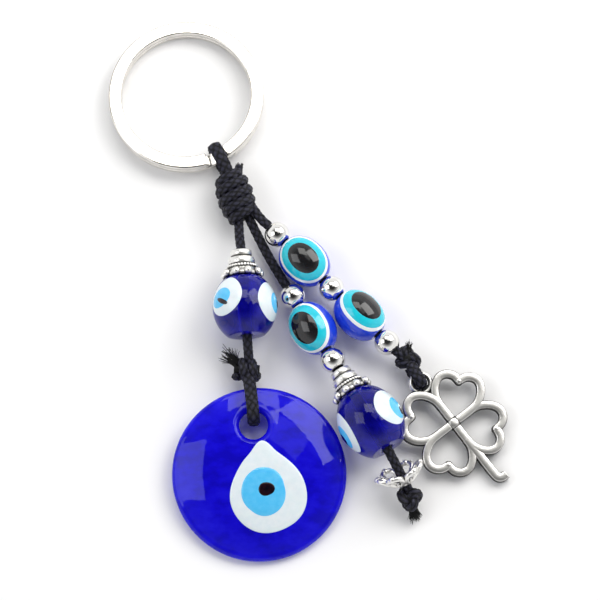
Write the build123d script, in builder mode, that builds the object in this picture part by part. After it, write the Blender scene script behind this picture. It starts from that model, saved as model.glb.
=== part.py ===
"""Evil eye ornament: a split key ring, a lashed cord loop and three beaded cords.

Millimetres. The ornament lies flat: +Z is up from the surface it lies on, z = 0 is that
surface, and the key ring's axis meets it at the origin. +Y points away from the pendants.
"""
from build123d import *
import os
from math import acos, asin, cos, pi, radians, sin, sqrt, tan

os.makedirs("parts", exist_ok=True)

# Split ring: two turns of flat wire
RING_OUTER_R = 15.0
RING_INNER_R = 12.5
WIRE_THICK = 1.5
RING_THICK = 2 * WIRE_THICK
RING_TILT = 2.7
RING_HEIGHT = 2.15
LOOP_ANGLE = -62.35

# Cord and knots
CORD_R = 0.95
THIN_CORD_R = 0.8
LOOP_WIDTH = 2.7
LOOP_THICK = 1.1
LOOP_GAP = 0.15

# Beads
BORE_R = 1.03
BEAD_GAP = 0.1
SPACER_R = 2.4
SPACER_HALF = 2.35
EYE_R = 4.3
EYE_HALF = 4.95
GLASS_R = 6.2
LEFT_GLASS_HALF = 5.9
MIDDLE_GLASS_HALF = 6.05
CAP_LENGTH = 5.0
CAP_RIM_R = 4.1
CAP_WALL_R = BORE_R + 0.1
CAP_OUTLINE = [(0, 2.0), (1.0, 2.0), (1.15, 1.75), (1.4, 2.5), (2.6, 2.6), (2.75, 2.3), (3.3, 3.0),
               (CAP_LENGTH, 3.5), (CAP_LENGTH, 2.4)]
CAP_INSIDE_TOP = 3.6
RIM_BALLS = 12
RIM_BALL_R = 0.85

# Layers set into a bead, outermost first: radius of the dot and its depth from the hole's axis
RESIN_LAYERS = [(6.0, 1.7), (6.0, 2.33), (6.0, 3.5)]
GLASS_DOTS = [(3.3, 4.6), (2.2, 5.0), (1.2, 5.4)]

# Pendant
PENDANT_R = 16.4
PENDANT_THICK = 4.2
PENDANT_EDGE = 1.9
PENDANT_TILT = 4.5
HOLE_R = 2.7
HOLE_OFFSET = 9.16
DROP_R = 7.5
DROP_X = -3.45
DROP_TIP_X = 5.8
DROP_FLOOR = 2.6
IRIS_R = 4.5
IRIS_FLOOR = 2.9
PUPIL_R = 1.5
PUPIL_FLOOR = 3.2

# Clover charm
CLOVER_THICK = 1.8
CLOVER_TILT = 4.6
LOBE_R = 2.9
LOBE_X = 2.7
LOBE_Y = 6.7
FRAME_WIDTH = 1.15
EYELET_R = 2.5
EYELET_HOLE_R = 1.6
STEM_WIDTH = 1.5
BOSS_R = 1.2

UP = Vector(0, 0, 1)


def heading(angle, slope=0):
    """Direction at this angle from +X in plan, rising by this slope, in degrees."""
    flat = cos(radians(slope))
    return Vector(flat * cos(radians(angle)), flat * sin(radians(angle)), sin(radians(slope)))


def across(direction, turn=0):
    """Upward direction square to this one, turned about it by this angle."""
    upright = (UP - direction * UP.dot(direction)).normalized()
    return upright.rotate(Axis(Vector(0, 0, 0), direction), turn)


def bead_plane(centre, direction, turn=0):
    """Plane with Z along the bead's hole and X square to it, turned from the top."""
    return Plane(origin=centre, x_dir=across(direction, turn), z_dir=direction)


def profile_plane(plane):
    """Plane that holds the hole's axis as X and the bead's radius as Y."""
    return Plane(origin=plane.origin, x_dir=plane.z_dir, z_dir=plane.y_dir)


def hole_axis(plane):
    """The bead's axis."""
    return Axis(plane.origin, plane.z_dir)


def save(piece, name):
    """Name one piece and write it."""
    piece.part.label = name
    export_step(piece.part, f"parts/{name}.step")


def cord_radii(points, hooks=None):
    """One arc radius for each corner: as large as its two runs allow, or a hook's own."""
    radii = []
    for i in range(1, len(points) - 1):
        before = points[i] - points[i - 1]
        after = points[i + 1] - points[i]
        turn = radians(before.get_angle(after))
        largest = 0.45 * min(before.length, after.length) / tan(turn / 2)
        radii.append(min(largest, (hooks or {}).get(i, largest)))
    return radii


def cord(points, name, thick=CORD_R, hooks=None, trims=()):
    """Tube along straight runs joined by tangent arcs, cut back to the pieces it meets."""
    points = [Vector(*p) for p in points]
    radii = cord_radii(points, hooks)
    with BuildPart() as tube:
        with BuildLine() as route:
            if radii:
                FilletPolyline(*points, radius=radii)
            else:
                Line(*points)
        path = route.wire()
        with BuildSketch(Plane(origin=path @ 0, z_dir=path % 0)):
            Circle(thick)
        sweep(path=path)
        whole = tube.part.volume
        for piece in trims:
            add(piece.part, mode=Mode.SUBTRACT)
    length = path.length
    share = whole / (length * pi * thick**2)
    print(name, "length", round(length, 2), "volume share", round(share, 4),
          "radii", [round(r, 2) for r in radii])
    save(tube, name)
    return tube


# ---------------------------------------------------------------- key ring and its loop
ring_side = heading(LOOP_ANGLE)
ring_slope = heading(LOOP_ANGLE, RING_TILT)
ring_axis = across(ring_slope)
ring_plane = Plane(origin=ring_axis * RING_HEIGHT, x_dir=ring_slope, z_dir=ring_axis)
wire_r = (RING_OUTER_R + RING_INNER_R) / 2
wire_half = (RING_OUTER_R - RING_INNER_R) / 2
wire_centre = ring_plane.origin + ring_slope * wire_r
ring_profile = Plane(origin=ring_plane.origin, x_dir=ring_plane.x_dir, z_dir=ring_plane.y_dir * -1)

with BuildPart() as split_ring:
    with BuildSketch(ring_profile):
        with Locations((wire_r, 0)):
            RectangleRounded(2 * wire_half, RING_THICK, 0.35)
        with Locations((RING_OUTER_R, 0), (RING_INNER_R, 0)):
            Rectangle(0.3, 0.16, mode=Mode.SUBTRACT)
    revolve(axis=Axis(ring_plane.origin, ring_plane.z_dir))
save(split_ring, "split_ring")

loop_section = Plane(origin=wire_centre, x_dir=ring_slope, z_dir=ring_profile.z_dir)
loop_inner_w = 2 * (wire_half + LOOP_GAP)
loop_inner_h = 2 * (RING_THICK / 2 + LOOP_GAP)
with BuildPart() as ring_loop:
    with BuildSketch(loop_section):
        RectangleRounded(loop_inner_w + 2 * LOOP_THICK, loop_inner_h + 2 * LOOP_THICK, 1.4)
        RectangleRounded(loop_inner_w, loop_inner_h, 0.3, mode=Mode.SUBTRACT)
    extrude(amount=LOOP_WIDTH / 2, both=True)
save(ring_loop, "ring_loop")

# ------------------------------------------------------------------------- lashing knot
LASHING_TOP = Vector(8.1, -15.5, 3.95)
LASHING_FOOT = Vector(11.05, -24.9, 3.5)
WRAPS = 5
WRAP_RADII = [2.35, 3.15, 3.6, 3.55, 3.2, 2.5]
lashing_dir = (LASHING_FOOT - LASHING_TOP).normalized()
lashing_length = (LASHING_FOOT - LASHING_TOP).length
lashing_plane = bead_plane(LASHING_TOP, lashing_dir)
wrap_length = lashing_length / WRAPS

with BuildPart() as lashing_knot:
    with BuildSketch(profile_plane(lashing_plane)):
        with BuildLine():
            Line((0, 0), (0, WRAP_RADII[0] - 0.3))
            for i in range(WRAPS):
                start = (i * wrap_length, WRAP_RADII[i] - 0.3)
                middle = ((i + 0.5) * wrap_length, (WRAP_RADII[i] + WRAP_RADII[i + 1]) / 2 + 0.1)
                end = ((i + 1) * wrap_length, WRAP_RADII[i + 1] - 0.3)
                ThreePointArc(start, middle, end)
            Line((lashing_length, WRAP_RADII[WRAPS] - 0.3), (lashing_length, 0))
            Line((lashing_length, 0), (0, 0))
        make_face()
    revolve(axis=hole_axis(lashing_plane))
save(lashing_knot, "lashing_knot")

cord([(9.9, -17.6, 4.5), (10.3, -14.0, 4.0)], "lashing_tail", THIN_CORD_R, trims=[lashing_knot])


# ------------------------------------------------------------------------ shared pieces
def spacer(centre, direction, name):
    """Round silver bead with flat ends at its hole."""
    with BuildPart(bead_plane(centre, direction)) as bead:
        Sphere(SPACER_R)
        Cylinder(SPACER_R, 2 * SPACER_HALF, mode=Mode.INTERSECT)
        Cylinder(BORE_R, 3 * SPACER_R, mode=Mode.SUBTRACT)
    save(bead, name)


def barrel(plane, radius, half_length, swell):
    """Barrel bead with flat ends and a hole."""
    with BuildPart(plane) as bead:
        with BuildSketch(profile_plane(plane)):
            Ellipse(swell, radius)
            Rectangle(2 * half_length, 2 * radius, mode=Mode.INTERSECT)
            Rectangle(4 * radius, 2 * radius, align=(Align.CENTER, Align.MAX), mode=Mode.SUBTRACT)
        revolve(axis=hole_axis(plane))
        Cylinder(BORE_R, 4 * radius, mode=Mode.SUBTRACT)
    return bead


def dot_blank(planes, radius, depth):
    """Round rods square to each plane, from this depth outwards."""
    with BuildPart() as rods:
        for plane in planes:
            with BuildSketch(plane.offset(depth)):
                Circle(radius)
            extrude(amount=2 * GLASS_R)
    return rods


def overlap(body, tool):
    """The part of the body that the tool holds."""
    with BuildPart() as shared:
        add(body.part)
        add(tool.part, mode=Mode.INTERSECT)
    return shared


def cut(body, tool):
    """The body less the tool."""
    with BuildPart() as rest:
        add(body.part)
        add(tool.part, mode=Mode.SUBTRACT)
    return rest


def dot_stack(body, planes, name, sizes):
    """Set dots into a bead: each layer is what the next one leaves of it."""
    inner = body
    for kind, (radius, depth) in zip(["body", "white", "iris"], sizes):
        rods = dot_blank(planes, radius, depth)
        save(cut(inner, rods), f"{name}_{kind}")
        inner = overlap(inner, rods)
    save(inner, f"{name}_pupil")


def eye_bead(centre, direction, turn, name):
    """Oval resin bead: blue body, and white, turquoise and black set in on one side."""
    plane = bead_plane(centre, direction, turn)
    body = barrel(plane, EYE_R, EYE_HALF, EYE_HALF + 0.35)
    face = Plane(origin=plane.origin, x_dir=plane.z_dir, z_dir=plane.x_dir)
    dot_stack(body, [face], name, RESIN_LAYERS)


def glass_bead(centre, direction, half_length, turns, name):
    """Lampwork glass bead with an eye at each turn about its hole."""
    body = barrel(bead_plane(centre, direction), GLASS_R, half_length, half_length + 1.3)
    faces = []
    for turn in turns:
        plane = bead_plane(centre, direction, turn)
        faces.append(Plane(origin=plane.origin, x_dir=plane.z_dir, z_dir=plane.x_dir))
    dot_stack(body, faces, name, GLASS_DOTS)


def bead_cap(top, direction, name):
    """Bell cap: two turned rings and a rim of round balls, over the bead's end."""
    plane = bead_plane(top, direction)
    with BuildPart(plane) as cap:
        with BuildSketch(profile_plane(plane)):
            with BuildLine():
                Polyline((0, CAP_WALL_R), *CAP_OUTLINE, (CAP_INSIDE_TOP, CAP_WALL_R), (0, CAP_WALL_R))
            make_face()
        revolve(axis=hole_axis(plane))
        with Locations((0, 0, CAP_LENGTH - RIM_BALL_R - 0.05)):
            with PolarLocations(CAP_RIM_R - RIM_BALL_R, RIM_BALLS):
                Sphere(RIM_BALL_R)
    save(cap, name)


def knot(centre, direction, length, radius, name):
    """Tightened overhand knot: a lumpy barrel of two turns of cord."""
    plane = bead_plane(centre, direction)
    with BuildPart() as lump:
        with BuildSketch(profile_plane(plane)):
            Ellipse(length / 2, radius)
            Rectangle(2 * length, 2 * radius, align=(Align.CENTER, Align.MAX), mode=Mode.SUBTRACT)
        revolve(axis=hole_axis(plane))
    save(lump, name)
    return lump


# -------------------------------------------------------------------------- left strand
LEFT_Z = 6.4
left_glass = Vector(11.57, -42.47, LEFT_Z)
left_dir = heading(-86)
left_cap_top = left_glass - left_dir * (LEFT_GLASS_HALF + BEAD_GAP + CAP_LENGTH)
left_seam = left_cap_top - left_dir * 0.2
left_knot = Vector(12.5, -54.5, 3.7)

left_knot_lump = knot(left_knot, heading(-4), 5.6, 2.0, "left_knot")
left_cord = cord([tuple(left_seam), tuple(left_glass + left_dir * 7.6), tuple(left_knot)],
                 "left_cord", hooks={1: 6.0}, trims=[left_knot_lump])
cord([(10.2, -23.6, 3.5), (10.3, -27.8, 4.3), tuple(left_seam)], "left_lead",
     trims=[lashing_knot, left_cord])
bead_cap(left_cap_top, left_dir, "left_cap")
glass_bead(left_glass, left_dir, LEFT_GLASS_HALF, [35, -80, 155], "left_glass")
cord([(10.6, -53.9, 4.2), (8.6, -51.6, 3.6), (7.6, -50.4, 2.6)], "left_knot_tail", THIN_CORD_R,
     trims=[left_knot_lump])

# ------------------------------------------------------------------------------ pendant
PENDANT_TURN = 96.9
pendant_up = heading(PENDANT_TURN, PENDANT_TILT)
pendant_axis = across(pendant_up)
PENDANT_X = 14.3
PENDANT_Y = -73.9
pendant_back = Vector(PENDANT_X, PENDANT_Y, PENDANT_R * sin(radians(PENDANT_TILT)) + 0.02)
pendant_plane = Plane(origin=pendant_back, x_dir=pendant_up, z_dir=pendant_axis)
hole_centre = pendant_back + pendant_up * HOLE_OFFSET

with BuildPart() as pendant:
    with BuildSketch(profile_plane(pendant_plane)):
        with BuildLine():
            Line((0, 0), (0, PENDANT_R - 0.5))
            Spline((0, PENDANT_R - 0.5), (0.9, PENDANT_R), (PENDANT_EDGE, PENDANT_R - 0.5),
                   tangents=[(0.2, 1), (0.35, -1)])
            ThreePointArc((PENDANT_EDGE, PENDANT_R - 0.5), (PENDANT_THICK - 0.6, PENDANT_R / 2),
                          (PENDANT_THICK, 0))
            Line((PENDANT_THICK, 0), (0, 0))
        make_face()
    revolve(axis=hole_axis(pendant_plane))
    with BuildSketch(pendant_plane.offset(-1)):
        with Locations((HOLE_OFFSET, 0)):
            Circle(HOLE_R)
    extrude(amount=PENDANT_THICK + 4, mode=Mode.SUBTRACT)

tip_angle = acos(DROP_R / (DROP_TIP_X - DROP_X))
tangent_x = DROP_X + DROP_R * cos(tip_angle)
tangent_y = DROP_R * sin(tip_angle)
with BuildPart() as drop_blank:
    with BuildSketch(pendant_plane.offset(DROP_FLOOR)):
        with Locations((DROP_X, 0)):
            Circle(DROP_R)
        with BuildLine():
            Polyline((DROP_TIP_X, 0), (tangent_x, tangent_y), (tangent_x, -tangent_y), (DROP_TIP_X, 0))
        make_face()
    extrude(amount=PENDANT_THICK)
    add(pendant.part, mode=Mode.INTERSECT)
iris_plane = Plane(origin=pendant_plane.from_local_coords(Vector(DROP_X, 0.7, 0)),
                   x_dir=pendant_plane.x_dir, z_dir=pendant_plane.z_dir)
iris_blank = overlap(drop_blank, dot_blank([iris_plane], IRIS_R, IRIS_FLOOR))
pupil_plane = Plane(origin=pendant_plane.from_local_coords(Vector(DROP_X + 0.2, 0.3, 0)),
                    x_dir=pendant_plane.x_dir, z_dir=pendant_plane.z_dir)
pupil_blank = overlap(iris_blank, dot_blank([pupil_plane], PUPIL_R, PUPIL_FLOOR))
save(cut(pendant, drop_blank), "pendant_glass")
save(cut(drop_blank, iris_blank), "pendant_drop")
save(cut(iris_blank, pupil_blank), "pendant_iris")
save(pupil_blank, "pendant_pupil")

loop_x = hole_centre.X
cord([tuple(left_knot + Vector(0.1, -0.9, 0.9)), (12.9, -58.8, 6.6), (loop_x - 0.1, -63.6, 6.9),
      (loop_x - 0.1, -63.6, 0.99), (12.9, -58.4, 0.99), tuple(left_knot + Vector(0.1, -0.6, -1.0))],
     "pendant_loop", hooks={2: 1.6, 3: 1.6}, trims=[left_knot_lump])

# ------------------------------------------------------------------------ middle strand
MIDDLE_ANGLE = -59.35
middle_dir = heading(MIDDLE_ANGLE, 5.1)
middle_top = Vector(20.6, -40.0, 3.9)
middle_eye_at = SPACER_HALF + BEAD_GAP + EYE_HALF
middle_low_at = middle_eye_at + EYE_HALF + BEAD_GAP + SPACER_HALF
middle_cap_at = middle_low_at + SPACER_HALF + BEAD_GAP
middle_glass_at = middle_cap_at + CAP_LENGTH + BEAD_GAP + MIDDLE_GLASS_HALF
middle_seam = middle_top - middle_dir * (SPACER_HALF + 0.2)
middle_bend = middle_top + middle_dir * (middle_glass_at + MIDDLE_GLASS_HALF + 1.7)
flower_dir = heading(-62, -24)
middle_knot = middle_bend + flower_dir * 9.2

middle_knot_lump = knot(middle_knot, flower_dir, 5.0, 2.5, "middle_knot")
middle_cord = cord([tuple(middle_seam), tuple(middle_bend), tuple(middle_knot)],
                   "middle_cord", hooks={1: 6.0}, trims=[middle_knot_lump])
cord([(11.3, -22.5, 3.4), (14.9, -30.2, 2.7), tuple(middle_seam)], "middle_lead",
     trims=[lashing_knot, middle_cord])
spacer(middle_top, middle_dir, "middle_spacer_upper")
eye_bead(middle_top + middle_dir * middle_eye_at, middle_dir, 28, "middle_eye")
spacer(middle_top + middle_dir * middle_low_at, middle_dir, "middle_spacer_lower")
bead_cap(middle_top + middle_dir * middle_cap_at, middle_dir, "middle_cap")
glass_bead(middle_top + middle_dir * middle_glass_at, middle_dir, MIDDLE_GLASS_HALF,
           [-65, 86, 190], "middle_glass")

# Openwork flower cap, its cup towards the bead
PETALS = 6
FLOWER_R = 4.3
flower_hub = middle_bend + flower_dir * 6.3
flower_plane = bead_plane(flower_hub, flower_dir * -1)
with BuildPart() as flower_cap:
    with BuildSketch(profile_plane(flower_plane)):
        with BuildLine():
            Polyline((0, BORE_R + 0.1), (0, 1.9), (1.9, FLOWER_R), (2.6, FLOWER_R), (2.6, FLOWER_R - 0.7),
                     (1.9, FLOWER_R - 0.7), (0.8, 1.9), (0.8, BORE_R + 0.1), (0, BORE_R + 0.1))
        make_face()
    revolve(axis=hole_axis(flower_plane))
    with BuildSketch(flower_plane.offset(-1)):
        with PolarLocations(FLOWER_R - 1.2, PETALS):
            Circle(0.7)
        with PolarLocations(FLOWER_R + 0.4, PETALS, start_angle=180 / PETALS):
            Circle(1.3)
    extrude(amount=6, mode=Mode.SUBTRACT)
save(flower_cap, "flower_cap")
tail_start = middle_knot + flower_dir * 1.9
tail_bend = middle_knot + Vector(1.5, -3.4, -1.2)
cord([tuple(tail_start), tuple(tail_bend), (middle_knot.X + 2.2, middle_knot.Y - 5.0, 0.9)],
     "middle_tail", THIN_CORD_R, trims=[middle_knot_lump])

# ------------------------------------------------------------------------- right strand
RIGHT_Z = 4.5
right_dir = heading(-45.4)
right_top = Vector(17.6, -28.0, RIGHT_Z)
right_step = SPACER_HALF + BEAD_GAP + EYE_HALF
right_seam = right_top - right_dir * (SPACER_HALF + 0.2)
right_end = right_top + right_dir * (4 * right_step + SPACER_HALF)
right_knot = right_end + right_dir * 2.75 + Vector(0, 0, -1.8)
KNOT_HEADING = -60

right_knot_lump = knot(right_knot, heading(KNOT_HEADING), 5.4, 2.3, "right_knot")
right_cord = cord([tuple(right_seam), tuple(right_end + right_dir * 2.8)], "right_cord",
                  trims=[right_knot_lump])
cord([(12.2, -21.6, 4.4), (14.0, -24.5, 4.5), tuple(right_seam)], "right_lead",
     trims=[lashing_knot, right_cord])
for step, part_name in enumerate(["spacer_upper", "eye_upper", "spacer_middle", "eye_lower", "spacer_lower"]):
    centre = right_top + right_dir * (step * right_step)
    if part_name.startswith("spacer"):
        spacer(centre, right_dir, f"right_{part_name}")
    else:
        eye_bead(centre, right_dir, 5 if step == 1 else -30, f"right_{part_name}")
cord([tuple(right_knot + Vector(0.2, 1.0, 1.0)), tuple(right_knot + Vector(0.9, 3.3, 0.7))], "right_tail",
     THIN_CORD_R, trims=[right_knot_lump])

# ------------------------------------------------------------------------ clover charm
CLOVER_TURN = -5
clover_out = heading(-45 + CLOVER_TURN, -CLOVER_TILT)
clover_axis = across(clover_out)
clover_centre = Vector(51.5, -63.9, 1.25)
clover_plane = Plane(origin=clover_centre, x_dir=clover_out, z_dir=clover_axis).rotated((0, 0, 45))
EYELET_X = -6.9
EYELET_Y = 5.9

LOBE_LEAN = asin(LOBE_X / sqrt(LOBE_X**2 + LOBE_Y**2)) + asin(LOBE_R / sqrt(LOBE_X**2 + LOBE_Y**2))


def heart(inset=0.0):
    """Heart with its tip by the origin and two round lobes, drawn in by this much all round."""
    lobe = LOBE_R - inset
    flank = (LOBE_X + lobe * cos(LOBE_LEAN), LOBE_Y - lobe * sin(LOBE_LEAN))
    with BuildSketch(mode=Mode.PRIVATE) as outline:
        with Locations((LOBE_X, LOBE_Y), (-LOBE_X, LOBE_Y)):
            Circle(lobe)
        with BuildLine():
            Polyline((0, inset / sin(LOBE_LEAN)), flank, (LOBE_X, LOBE_Y), (-LOBE_X, LOBE_Y),
                     (-flank[0], flank[1]), (0, inset / sin(LOBE_LEAN)))
        make_face()
    return outline.sketch


with BuildPart() as clover:
    with BuildSketch(clover_plane):
        with PolarLocations(0, 4):
            add(heart())
        with PolarLocations(0, 4):
            add(heart(FRAME_WIDTH), mode=Mode.SUBTRACT)
        Circle(BOSS_R)
        with BuildLine():
            FilletPolyline((3.4, -4.2), (5.4, -5.7), (10.1, -10.4), (11.4, -8.6), radius=[1.6, 0.9])
        trace(line_width=STEM_WIDTH)
        with Locations((EYELET_X * 0.84, EYELET_Y * 0.84)):
            Circle(1.3)
    extrude(amount=CLOVER_THICK)
    with BuildSketch(clover_plane.offset(0.1)):
        with Locations((EYELET_X, EYELET_Y)):
            Circle(EYELET_R)
    extrude(amount=CLOVER_THICK - 0.4)
    with BuildSketch(clover_plane.offset(-1)):
        with Locations((EYELET_X, EYELET_Y)):
            Circle(EYELET_HOLE_R)
    extrude(amount=CLOVER_THICK + 2, mode=Mode.SUBTRACT)
save(clover, "clover_charm")

eyelet = clover_plane.from_local_coords(Vector(EYELET_X, EYELET_Y, 0))
for place, point in [("ring wire", wire_centre), ("lashing foot", LASHING_FOOT), ("left axis", left_dir),
                     ("left knot", left_knot), ("hole", hole_centre), ("hole axis", pendant_axis),
                     ("middle top", middle_top), ("middle axis", middle_dir), ("flower", flower_hub),
                     ("flower axis", flower_dir), ("right top", right_top), ("right axis", right_dir),
                     ("right knot", right_knot), ("eyelet", eyelet), ("eyelet axis", clover_axis),
                     ("ring axis", ring_axis), ("ring radius way", ring_slope), ("left glass", left_glass),
                     ("middle knot", middle_knot)]:
    print(place, [round(value, 5) for value in point])
to_knot = Vector(right_knot.X - eyelet.X, right_knot.Y - eyelet.Y, 0).normalized()


def loop_point(toward, height):
    """Point this far from the eyelet's centre towards the knot, at this height."""
    return (eyelet.X + to_knot.X * toward, eyelet.Y + to_knot.Y * toward, height)


knot_gap = sqrt((right_knot.X - eyelet.X)**2 + (right_knot.Y - eyelet.Y)**2)
cord([loop_point(knot_gap - 1.2, right_knot.Z + 1.3), loop_point(0.4, 4.9), loop_point(0.4, 0.85),
      loop_point(knot_gap - 1.2, right_knot.Z - 1.5)],
     "clover_loop", THIN_CORD_R, trims=[right_knot_lump])
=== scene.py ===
"""Evil eye ornament: the looks of a beaded key charm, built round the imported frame.

Places and sizes are millimetres in the frame's own axes, turned into metres as each mesh is
made. +Z is up from the surface the charm lies on and +Y points away from the pendants.
"""
from math import cos, pi, radians, sin, sqrt

import bmesh
import bpy
import numpy as np
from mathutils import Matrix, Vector


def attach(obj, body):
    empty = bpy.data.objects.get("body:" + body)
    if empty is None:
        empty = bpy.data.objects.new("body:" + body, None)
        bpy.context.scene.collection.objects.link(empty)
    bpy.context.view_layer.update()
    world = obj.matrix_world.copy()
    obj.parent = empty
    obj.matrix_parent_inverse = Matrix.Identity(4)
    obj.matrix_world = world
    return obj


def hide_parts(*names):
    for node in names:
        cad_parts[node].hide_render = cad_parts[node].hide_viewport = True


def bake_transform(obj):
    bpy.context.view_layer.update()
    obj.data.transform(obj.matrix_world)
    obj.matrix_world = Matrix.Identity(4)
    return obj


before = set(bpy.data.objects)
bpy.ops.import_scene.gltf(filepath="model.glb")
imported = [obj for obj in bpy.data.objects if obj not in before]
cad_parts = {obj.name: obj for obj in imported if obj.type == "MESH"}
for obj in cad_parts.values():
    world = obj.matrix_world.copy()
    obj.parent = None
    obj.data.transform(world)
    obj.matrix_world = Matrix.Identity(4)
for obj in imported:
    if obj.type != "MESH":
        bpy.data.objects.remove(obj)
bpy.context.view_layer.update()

MM = 0.001
TURN = 2 * pi
rng = np.random.default_rng(7)

# Sizes and places repeated from the part
RING_OUTER_R = 15.0
RING_INNER_R = 12.5
RING_THICK = 3.0
RING_TILT = 2.7
RING_HEIGHT = 2.15
LOOP_ANGLE = -62.35
CORD_R = 0.95
THIN_CORD_R = 0.8
BORE_R = 1.03
BEAD_GAP = 0.1
SPACER_R = 2.4
SPACER_HALF = 2.35
EYE_R = 4.3
EYE_HALF = 4.95
GLASS_R = 6.2
LEFT_GLASS_HALF = 5.5
MIDDLE_GLASS_HALF = 6.05
CAP_LENGTH = 5.4
LASHING_TOP = np.array([8.1, -15.5, 3.95])
LASHING_FOOT = np.array([11.05, -24.9, 3.5])
PENDANT_R = 16.4
PENDANT_THICK = 4.2
PENDANT_EDGE = 1.9
PENDANT_TILT = 4.5
PENDANT_TURN = 96.9
HOLE_R = 2.7
HOLE_OFFSET = 9.16
CLOVER_THICK = 1.8
CLOVER_TILT = 4.6
CLOVER_TURN = -7.4

UP = np.array([0.0, 0.0, 1.0])


# ---- directions and planes
def unit(v):
    """The vector at length one."""
    v = np.asarray(v, float)
    return v / np.linalg.norm(v)


def heading(angle, slope=0.0):
    """Direction at this angle from +X in plan, rising by this slope, in degrees."""
    flat = cos(radians(slope))
    return np.array([flat * cos(radians(angle)), flat * sin(radians(angle)), sin(radians(slope))])


def spin(v, axis, angle):
    """The vector turned about the axis, in degrees."""
    axis = unit(axis)
    a = radians(angle)
    return v * cos(a) + np.cross(axis, v) * sin(a) + axis * np.dot(axis, v) * (1 - cos(a))


def across(direction, turn=0.0):
    """Upward direction square to this one, turned about it by this angle."""
    return spin(unit(UP - direction * np.dot(UP, direction)), direction, turn)


class Place:
    """A local frame: origin, and x, y and z directions."""

    def __init__(self, origin, x, z):
        self.origin = np.asarray(origin, float)
        self.z = unit(z)
        self.x = unit(x - self.z * np.dot(x, self.z))
        self.y = np.cross(self.z, self.x)

    def put(self, points):
        """Local points in the row frame."""
        points = np.asarray(points, float)
        return self.origin + points @ np.array([self.x, self.y, self.z])


def bead_place(centre, direction, turn=0.0):
    """Frame with Z along a bead's hole and X turned this far from the top."""
    return Place(centre, across(direction, turn), direction)


# ---- materials
def shader(name, colour, roughness=0.4, metallic=0.0, **sockets):
    """A Principled material with these constants on its own sockets."""
    mat = bpy.data.materials.new(name)
    mat.use_nodes = True
    surface = mat.node_tree.nodes["Principled BSDF"]
    surface.inputs["Base Color"].default_value = (*colour, 1)
    surface.inputs["Roughness"].default_value = roughness
    surface.inputs["Metallic"].default_value = metallic
    for socket, value in sockets.items():
        surface.inputs[socket.replace("_", " ")].default_value = value
    return mat


def node(mat, kind, inputs=None, **settings):
    """Add one node with these settings and constant inputs."""
    made = mat.node_tree.nodes.new(kind)
    for key, value in settings.items():
        setattr(made, key, value)
    for key, value in (inputs or {}).items():
        made.inputs[key].default_value = value
    return made


def link(mat, *pairs):
    """Link output to input, pair by pair."""
    for start, end in pairs:
        mat.node_tree.links.new(start, end)


def principled(mat):
    """The material's Principled node."""
    return mat.node_tree.nodes["Principled BSDF"]


def drive(mat, socket, value):
    """Link a value into one of the shader's sockets."""
    link(mat, (value, principled(mat).inputs[socket]))


def noise(mat, scale, detail=3.0, stretch=(1, 1, 1), rough=0.5):
    """Noise in object space, in features per metre, stretched along an axis."""
    place = node(mat, "ShaderNodeTexCoord")
    mapping = node(mat, "ShaderNodeMapping")
    mapping.inputs["Scale"].default_value = stretch
    made = node(mat, "ShaderNodeTexNoise", {"Scale": scale, "Detail": detail, "Roughness": rough})
    link(mat, (place.outputs["Object"], mapping.inputs["Vector"]),
         (mapping.outputs["Vector"], made.inputs["Vector"]))
    return made.outputs["Fac"]


def ramp(mat, value, stops):
    """Colour ramp over a value. Stops are (position, colour or grey)."""
    made = node(mat, "ShaderNodeValToRGB")
    while len(made.color_ramp.elements) < len(stops):
        made.color_ramp.elements.new(0.5)
    for element, (position, colour) in zip(made.color_ramp.elements, stops):
        element.position = position
        grey = (colour,) * 3 if isinstance(colour, (int, float)) else colour
        element.color = (*grey, 1)
    link(mat, (value, made.inputs["Fac"]))
    return made.outputs["Color"]


def math_node(mat, operation, a, b=None):
    """One Math node on sockets or numbers."""
    made = node(mat, "ShaderNodeMath", operation=operation)
    for slot, value in enumerate((a, b)):
        if isinstance(value, (int, float)):
            made.inputs[slot].default_value = value
        elif value is not None:
            link(mat, (value, made.inputs[slot]))
    return made.outputs[0]


def bump(mat, height, distance, strength):
    """Bump from a height, in metres, into the shader's normal."""
    made = node(mat, "ShaderNodeBump", {"Strength": strength, "Distance": distance})
    link(mat, (height, made.inputs["Height"]))
    drive(mat, "Normal", made.outputs["Normal"])


YARNS = 5


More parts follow.
